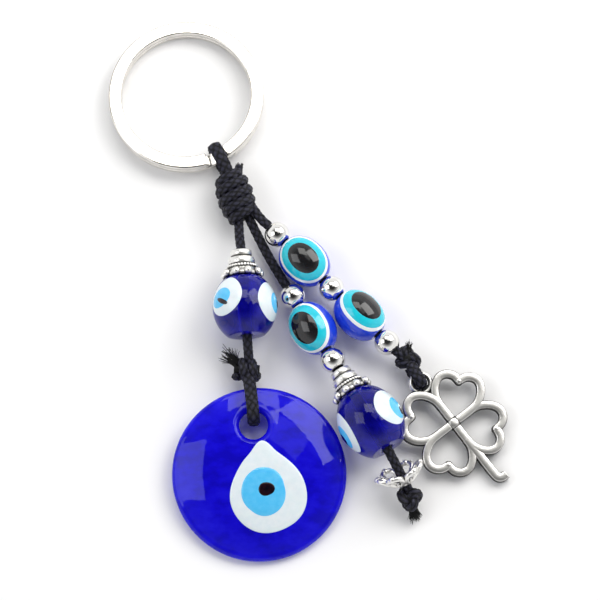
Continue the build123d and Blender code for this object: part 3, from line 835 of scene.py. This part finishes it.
MIDDLE_DIR = heading(-59.35, 5.1)
MIDDLE_TOP = np.array([20.6, -40.0, 3.9])
MIDDLE_STATIONS = {"eye": 7.4, "spacer_lower": 14.8, "cap": 17.25, "glass": 28.8}
spacer("middle_spacer_upper", MIDDLE_TOP, MIDDLE_DIR)
eye_bead("middle_eye", MIDDLE_TOP + MIDDLE_DIR * MIDDLE_STATIONS["eye"], MIDDLE_DIR, 28)
spacer("middle_spacer_lower", MIDDLE_TOP + MIDDLE_DIR * MIDDLE_STATIONS["spacer_lower"], MIDDLE_DIR)
bead_cap("middle_cap", MIDDLE_TOP + MIDDLE_DIR * MIDDLE_STATIONS["cap"], MIDDLE_DIR)
glass_bead("middle_glass", MIDDLE_TOP + MIDDLE_DIR * MIDDLE_STATIONS["glass"], MIDDLE_DIR, MIDDLE_GLASS_HALF,
           [((-48, 0.3, 4.0, 3.7, 0.1), (-60, 0.8, 2.6, 2.4, 0.1), (-69, 1.5, 1.1, 1.0, 0.0)),
            ((76, 0.0, 3.2, 4.3, 0.0), (80, 0.3, 2.2, 2.8, 0.0), (84, 0.5, 1.2, 1.5, 0.0)),
            ((196, 0.1, 3.0, 3.3, 0.2), (198, 0.2, 1.9, 2.0, 0.2), (200, 0.3, 0.8, 0.9, 0.0))])

RIGHT_DIR = heading(-45.4)
RIGHT_TOP = np.array([17.6, -28.0, 4.5])
RIGHT_STEP = 7.4
for step, (kind, turn) in enumerate([("spacer_upper", 0), ("eye_upper", 5), ("spacer_middle", 0),
                                     ("eye_lower", -30), ("spacer_lower", 0)]):
    place_at = RIGHT_TOP + RIGHT_DIR * (step * RIGHT_STEP)
    if kind.startswith("spacer"):
        spacer(f"right_{kind}", place_at, RIGHT_DIR)
    else:
        eye_bead(f"right_{kind}", place_at, RIGHT_DIR, turn)

# ---- flower cap
FLOWER_DIR = heading(-66, -24)
FLOWER_HUB = np.array([41.4, -76.2, 4.6])
flower = bead_place(FLOWER_HUB, -FLOWER_DIR)
PETALS = 6
parts = [lathe(flower, [(1.15, 0.0), (1.75, 0.0), (1.95, 0.2), (1.95, 0.6), (1.75, 0.85), (1.15, 0.85)], 64,
               closed=True)]
for i in range(PETALS):
    turn = TURN * (i + 0.5) / PETALS
    t = np.linspace(0, TURN, 48, endpoint=False)
    reach = 3.0 - 1.3 * np.cos(t)
    half = 1.3 * np.sin(t) * (1 - 0.32 * np.cos(t))
    radius = np.hypot(reach, half)
    at = turn + np.arctan2(half, reach)
    height = 0.45 + 1.9 * np.clip((radius - 1.6) / 2.5, 0, 1.2) ** 1.2
    petal = np.stack([radius * np.cos(at), radius * np.sin(at), height], -1)
    parts.append(tube(flower.put(petal), 0.5, 12, closed=True))
    tip = flower.put([4.3 * cos(turn), 4.3 * sin(turn), 2.6])
    parts.append(ball(tip, 0.66, 16))
    core = np.array([[1.7, 0, 0.5], [2.3, 0, 0.75], [2.75, 0, 1.0]])
    core = np.stack([core[:, 0] * cos(turn), core[:, 0] * sin(turn), core[:, 2]], -1)
    parts.append(tube(flower.put(core), [0.45, 0.4, 0.28], 8))
piece(make("flower_cap_cast", *join(parts), ANTIQUE), "flower_cap", "antique_silver", "flower_cap")


# ---- knots
def knot_place(centre, direction):
    """Frame of a knot, its Z along the cord through it."""
    return bead_place(np.array(centre), unit(direction))


def wrap_knot(name, place, half_long, outer, turns, start, body, node_name, thick, flat):
    """Cord wound round itself: a barrel of turns over a filler core."""
    wind = np.linspace(0, TURN * turns, int(90 * turns))
    along = np.interp(wind, [0, wind[-1]], [-half_long + thick, half_long - thick])
    out = (outer - thick * flat) * np.sqrt(1 - 0.35 * (along / half_long) ** 2)
    path = place.put(np.stack([np.cos(wind + start) * out, np.sin(wind + start) * out, along], -1))
    made = cord_mesh(name, path, thick, flat=flat, taper=(1.0, 1.0), normals=outward(place.origin, place.z))
    piece(made, body, "waxed_cord", node_name)
    filler = [(max(0.3, (outer - 1.5 * thick * flat) * sqrt(1 - 0.4 * (z / half_long) ** 2)), z)
              for z in np.linspace(-half_long * 0.8, half_long * 0.8, 12)]
    core = make(f"{name}_core", *lathe(place, filler, 32), FRAY_BLACK)
    piece(core, body, "waxed_cord")


def trefoil(name, place, size, body, node_name, thick, turn):
    """Overhand knot drawn tight: the cord crosses itself three times."""
    t = np.linspace(0, TURN, 420, endpoint=False) + turn
    x = np.sin(t) + 1.6 * np.sin(2 * t)
    y = np.cos(t) - 1.6 * np.cos(2 * t)
    z = -np.sin(3 * t)
    path = np.stack([x * size[0], y * size[1], z * size[2]], -1)
    path = np.vstack([path, path[:1]])
    made = cord_mesh(name, place.put(path), thick, closed=True, flat=0.9)
    piece(made, body, "waxed_cord", node_name)
    core = make(f"{name}_core", *ball(place.origin, thick * 1.5, 20), FRAY_BLACK)
    piece(core, body, "waxed_cord")


LEFT_KNOT = np.array([11.9, -54.2, 3.7])
left_knot_place = knot_place(LEFT_KNOT, heading(-4))
wrap_knot("left_knot_turns", left_knot_place, 3.0, 2.35, 2.4, 0.8, "left_strand", "left_knot", 0.98, 0.78)
yarn_end("left_knot_fray", "left_strand", ["left_knot_tail"],
         LEFT_KNOT + [-1.6, 0.7, 0.6], (-0.62, 0.76, -0.25), 4.6, 0.55, 90, 0.75, 0.9)

MIDDLE_KNOT = np.array([42.5, -78.7, 3.3])
trefoil("middle_knot_turns", Place(MIDDLE_KNOT, [1, 0, 0], [0, -0.25, 1]), (0.64, 0.62, 0.9),
        "middle_strand", "middle_knot", 1.08, 0.4)
yarn_end("middle_knot_fray", "middle_strand", ["middle_tail"],
         MIDDLE_KNOT + [0.5, -1.7, -0.8], (0.35, -0.85, -0.35), 2.3, 0.25, 140, 0.85, 0.9)

RIGHT_KNOT = np.array([42.3, -51.9, 2.9])
trefoil("right_knot_turns", Place(RIGHT_KNOT, [0.6, -0.8, 0], [0, 0, 1]), (0.68, 0.62, 0.8),
        "right_strand", "right_knot", 1.05, 1.2)
yarn_end("right_knot_fray", "right_strand", ["right_tail"],
         RIGHT_KNOT + [0.1, 1.2, 0.9], (0.25, 0.95, -0.1), 2.0, 0.15, 40, 0.55)

PENDANT_LOOP = [(12.2, -55.2, 4.6), (12.7, -58.8, 6.4), (13.1, -62.1, 6.9), (13.25, -64.0, 6.2),
                (13.25, -64.0, 1.5), (13.1, -62.4, 0.99), (12.7, -58.4, 0.99), (12.2, -55.1, 2.7)]
pendant_loop = cord_mesh("pendant_loop_cord", route(PENDANT_LOOP), wide=1.3)
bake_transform(pendant_loop)
finish(pendant_loop, "waxed_cord", "pendant_loop")
CLOVER_LOOP = [(42.8, -53.2, 4.0), (44.1, -55.6, 5.0), (44.9, -56.9, 4.4), (44.9, -56.9, 1.2),
               (44.1, -55.7, 0.85), (42.8, -53.2, 1.3)]
clover_loop = cord_mesh("clover_loop_cord", route(CLOVER_LOOP), THIN_CORD_R, wide=1.5)
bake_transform(clover_loop)
finish(clover_loop, "waxed_cord", "clover_loop")

# ---- pendant
pendant_up = heading(PENDANT_TURN, PENDANT_TILT)
pendant_axis = across(pendant_up)
PENDANT_BACK = np.array([14.3, -73.9, PENDANT_R * sin(radians(PENDANT_TILT)) + 0.02])
pendant = Place(PENDANT_BACK, pendant_up, pendant_axis)
RIM_ROUND = PENDANT_EDGE / 2
LIP = 1.0


def dome(x, y):
    """Height of the pendant's front face over its back."""
    share = np.clip(np.hypot(x, y) / (PENDANT_R - RIM_ROUND), 0, 1)
    swell = 0.05 * np.sin(3.1 * x / PENDANT_R + 0.8) * np.cos(2.3 * y / PENDANT_R)
    collar = 0.22 * np.exp(-((np.hypot(x - HOLE_OFFSET, y) - HOLE_R - 1.0) / 0.8) ** 2)
    rise = (PENDANT_THICK - PENDANT_EDGE - 0.1) * (1 - share**2.8)
    return PENDANT_EDGE + rise + swell * (1 - share) + collar * 0.5


def disc_rows():
    """Rows of rings round the pendant's section, from the hole's wall out and back again."""
    phi = np.linspace(0, TURN, 180, endpoint=False)
    rows = []

    def ring_row(share, hole_r, rim_r, height):
        radius = hole_r + share * (rim_r - hole_r)
        x = HOLE_OFFSET * (1 - share) + radius * np.cos(phi)
        y = radius * np.sin(phi)
        rows.append(np.stack([x, y, height(x, y) + 0 * x], -1))

    inner, outer = HOLE_R + LIP, PENDANT_R - RIM_ROUND
    for a in np.radians(np.linspace(-90, 0, 6)):
        ring_row(0, inner - LIP * cos(a), 0, lambda x, y: LIP * (1 + sin(a)))
    for a in np.radians(np.linspace(0, 90, 7)[:-1]):
        ring_row(0, inner - LIP * cos(a), 0, lambda x, y: dome(x, y) - LIP * (1 - sin(a)))
    for share in np.linspace(0, 1, 46):
        ring_row(share, inner, outer, dome)
    for a in np.radians(np.linspace(90, -90, 11)[1:-1]):
        ring_row(1, 0, outer + RIM_ROUND * cos(a), lambda x, y: RIM_ROUND * (1 + sin(a)))
    for share in np.linspace(1, 0, 30)[:-1]:
        ring_row(share, inner, outer, lambda x, y: 0)
    return np.array(rows)


disc = make("pendant_disc", *shell(pendant.put(disc_rows()), wrap_rows=True), PENDANT_BLUE)
piece(disc, "pendant", "pendant_cobalt", "pendant_glass")


def patch(name, centre, outline, raised, mat, seed):
    """A pool of glass on the pendant's face, its edge rounded down into the body."""
    around = np.linspace(0, TURN, 144, endpoint=False)
    edge = outline(around)
    inward = [1.0, 0.992, 0.975, 0.95, 0.9, 0.82, 0.7, 0.5, 0.3, 0.1, 0.02]
    grow = np.concatenate([np.linspace(0.1, 0.97, 7), inward])
    lift = np.concatenate([np.full(7, -0.5), [0.0, 0.3, 0.5, 0.68, 0.85, 0.95, 1, 1, 1, 1, 1]])
    rows = []
    for k, share in zip(grow, lift):
        x = centre[0] + k * edge * np.cos(around)
        y = centre[1] + k * edge * np.sin(around)
        ripple = 0.04 * np.sin(seed + 0.9 * x + 0.5 * y)
        z = dome(x, y) + (share * raised + ripple * (share > 0.9) if share > 0 else share * 0.8)
        rows.append(np.stack([x, y, z], -1))
    return make(name, *shell(pendant.put(np.array(rows))), mat)


DROP_CENTRE = (-4.2, -1.2)
DROP_R = 7.2
DROP_TIP = 10.1


def drop_outline(around):
    """Radius of a round drop with one soft point, about the middle of its round end."""
    off = np.abs((around + pi) % TURN - pi)
    nipple = 0.55 * np.exp(-(off / 0.2) ** 2) + 0.45 * np.exp(-(off / 0.55) ** 2)
    pointed = DROP_R + (DROP_TIP - DROP_R) * nipple
    wave = 0.1 * np.sin(3 * around + 1.0) + 0.06 * np.sin(5 * around)
    return pointed + wave


drop = patch("pendant_drop_pool", DROP_CENTRE, drop_outline, 0.18, GLASS_WHITE, 0.3)
piece(drop, "pendant", "glass_white", "pendant_drop")
iris = patch("pendant_iris_pool", (-3.55, -0.4), lambda a: 4.52 + 0.22 * np.cos(2 * a), 0.3, GLASS_SKY, 1.1)
piece(iris, "pendant", "glass_sky", "pendant_iris")
pupil = patch("pendant_pupil_pool", (-3.2, -1.0),
              lambda a: 1.48 - 0.14 * np.cos(2 * a) + 0.05 * np.sin(3 * a), 0.4, GLASS_DARK, 2.0)
piece(pupil, "pendant", "glass_dark", "pendant_pupil")

# ---- clover
clover_out = heading(-45 + CLOVER_TURN, -CLOVER_TILT)
clover_axis = across(clover_out)
CLOVER_CENTRE = np.array([50.85, -64.1, 1.25])
clover = Place(CLOVER_CENTRE, spin(clover_out, clover_axis, 45), clover_axis)
STRIP = 1.6
STEM_WIDTH = 1.7
LOBE = np.array([(0.6, 0.6), (2.7, 2.7), (3.85, 4.0), (4.35, 5.6), (4.4, 7.0), (3.85, 8.5),
                 (2.6, 9.2), (1.2, 9.1), (0.3, 8.4), (0, 8.05)])
STEM = [(2.6, -2.6), (5.8, -5.6), (8.9, -8.7), (9.7, -9.2), (10.5, -8.9), (11.1, -8.2)]
NOTCH = LOBE[-1]
EYELET = (-7.1, 6.7)
EYELET_FOOT = (-5.75, 5.55)


def soften(line):
    """Open outline with its corners cut off three times over."""
    line = np.asarray(line, float)
    for _ in range(3):
        near = line[:-1] * 0.75 + line[1:] * 0.25
        far = line[:-1] * 0.25 + line[1:] * 0.75
        line = np.vstack([line[:1], np.stack([near, far], 1).reshape(-1, 2), line[-1:]])
    return line


def dome_boss(place, radius, height):
    """Low round boss on the charm's back plane, as (points, faces)."""
    section = [(0.04, 0.04), (radius * 0.96, 0.05), (radius, height * 0.66), (radius * 0.82, height * 0.92),
               (radius * 0.4, height), (0.04, height)]
    return lathe(Place([*place, 0], [1, 0, 0], [0, 0, 1]), section, 40)


def strip(line, width, height):
    """A flat-bottomed strip with a rounded top along a flat open line, as (points, faces)."""
    flat = np.column_stack([np.asarray(line, float), np.zeros(len(line))])
    path, _ = resample(flat, 0.16)
    kernel = np.array([0.25, 0.5, 0.25])
    for _ in range(4):
        before = np.roll(path, 1, 0)
        after = np.roll(path, -1, 0)
        before[0], after[-1] = path[0], path[-1]
        path = before * kernel[0] + path * kernel[1] + after * kernel[2]
    ahead = np.roll(path, -1, 0) - np.roll(path, 1, 0)
    ahead[0], ahead[-1] = path[1] - path[0], path[-1] - path[-2]
    ahead /= np.linalg.norm(ahead, axis=1, keepdims=True)
    side = np.stack([-ahead[:, 1], ahead[:, 0], np.zeros(len(path))], -1)
    half = width / 2
    a = np.radians(np.linspace(0, 180, 9))
    section = [(half, 0.12), (half, height * 0.78)]
    for t in a[1:-1]:
        out = half * np.sign(cos(t)) * abs(cos(t)) ** 0.6
        section.append((out, height * (0.8 + 0.2 * sin(t) ** 0.6)))
    section += [(-half, height * 0.78), (-half, 0.12), (-half + 0.12, 0.0), (half - 0.12, 0.0)]
    section = np.array(section)
    rows = path[:, None, :] + side[:, None, :] * section[None, :, :1] + UP * section[None, :, 1:]
    return shell(rows)


def turned(line, quarter):
    """A flat line turned by quarter turns about the origin."""
    c, s = cos(quarter * pi / 2), sin(quarter * pi / 2)
    return np.asarray(line) @ np.array([[c, s], [-s, c]])


shells = []
for quarter in range(4):
    shells.append(strip(turned(soften(LOBE), quarter), STRIP, CLOVER_THICK))
    shells.append(strip(turned(soften(LOBE * [-1, 1]), quarter), STRIP, CLOVER_THICK - 0.05))
    shells.append(dome_boss(turned([NOTCH], quarter)[0], STRIP / 2, CLOVER_THICK))
shells.append(strip(soften(STEM), STEM_WIDTH, CLOVER_THICK))
shells.append(dome_boss((0, 0), 1.35, CLOVER_THICK))
shells.append(dome_boss(EYELET_FOOT, 1.05, CLOVER_THICK * 0.8))
eye_angle = np.linspace(0, TURN, 60, endpoint=False)
eyelet_line = np.stack([EYELET[0] + 1.85 * np.cos(eye_angle), EYELET[1] + 1.85 * np.sin(eye_angle),
                        np.full(60, 0.85)], -1)
points, faces = tube(eyelet_line, 0.46, 14, closed=True)
middle = points[:, 2] - 0.85
points[:, 2] = 0.85 + middle * 1.5
eyelet_points = len(points)
shells.append((points, faces))
points, faces = join(shells)
charm = make("clover_cast", clover.put(points), faces, ANTIQUE)
# Painted shade: the strips' rounded shoulders and sides below the top plateau are darkened in colour; the
# eyelet is left out.
strip_side_shade = np.clip((0.985 * CLOVER_THICK - points[:, 2]) / (0.1 * CLOVER_THICK), 0, 1)
strip_side_shade[-eyelet_points:] = 0
charm.data.attributes.new("strip_side_shade", "FLOAT", "POINT").data.foreach_set("value", strip_side_shade)
piece(charm, "clover", "antique_silver", "clover_charm")


# ---- stage and light
floor_mesh = bpy.data.meshes.new("floor")
floor_mesh.from_pydata([(-1.5, -1.5, 0), (1.5, -1.5, 0), (1.5, 1.5, 0), (-1.5, 1.5, 0)], [], [(0, 1, 2, 3)])
floor = bpy.data.objects.new("floor", floor_mesh)
bpy.context.scene.collection.objects.link(floor)
floor_mesh.materials.append(shader("pale table", (0.93, 0.93, 0.935), roughness=0.75))


def area(name, place, aim, size, watts, colour=(1, 1, 1)):
    """Soft square light in millimetres, aimed at a point."""
    data = bpy.data.lights.new(name, "AREA")
    data.size = size * MM
    data.energy = watts
    data.color = colour
    lamp = bpy.data.objects.new(name, data)
    lamp.location = np.asarray(place, float) * MM
    way = Vector(np.asarray(aim, float) - np.asarray(place, float))
    lamp.rotation_euler = way.to_track_quat("-Z", "Y").to_euler()
    bpy.context.scene.collection.objects.link(lamp)


area("window", (254, 145, 310), (22, -40, 0), 280, 1.15, (1.0, 0.985, 0.96))
area("softbox", (105, 55, 410), (22, -40, 0), 130, 0.045, (1.0, 0.99, 0.98))
area("left_card", (-230, -50, 300), (22, -40, 0), 200, 0.28, (0.97, 0.98, 1.0))
area("far_card", (-10, 215, 420), (0, 0, 0), 220, 0.55, (1.0, 0.99, 0.95))

world = bpy.data.worlds.new("studio")
bpy.context.scene.world = world
world.use_nodes = True
sky = world.node_tree.nodes["Background"]
way_in = world.node_tree.nodes.new("ShaderNodeTexCoord")
split_way = world.node_tree.nodes.new("ShaderNodeSeparateXYZ")
glow = world.node_tree.nodes.new("ShaderNodeValToRGB")
glow.color_ramp.elements.new(0.8)
for element, (position, grey) in zip(glow.color_ramp.elements, [(0.5, 0.95), (0.78, 0.25), (0.93, 0.03)]):
    element.position = position
    element.color = (grey, grey, grey * 1.01, 1)
world.node_tree.links.new(way_in.outputs["Generated"], split_way.inputs[0])
world.node_tree.links.new(split_way.outputs["Z"], glow.inputs["Fac"])
world.node_tree.links.new(glow.outputs["Color"], sky.inputs["Color"])
sky.inputs["Strength"].default_value = 1.0
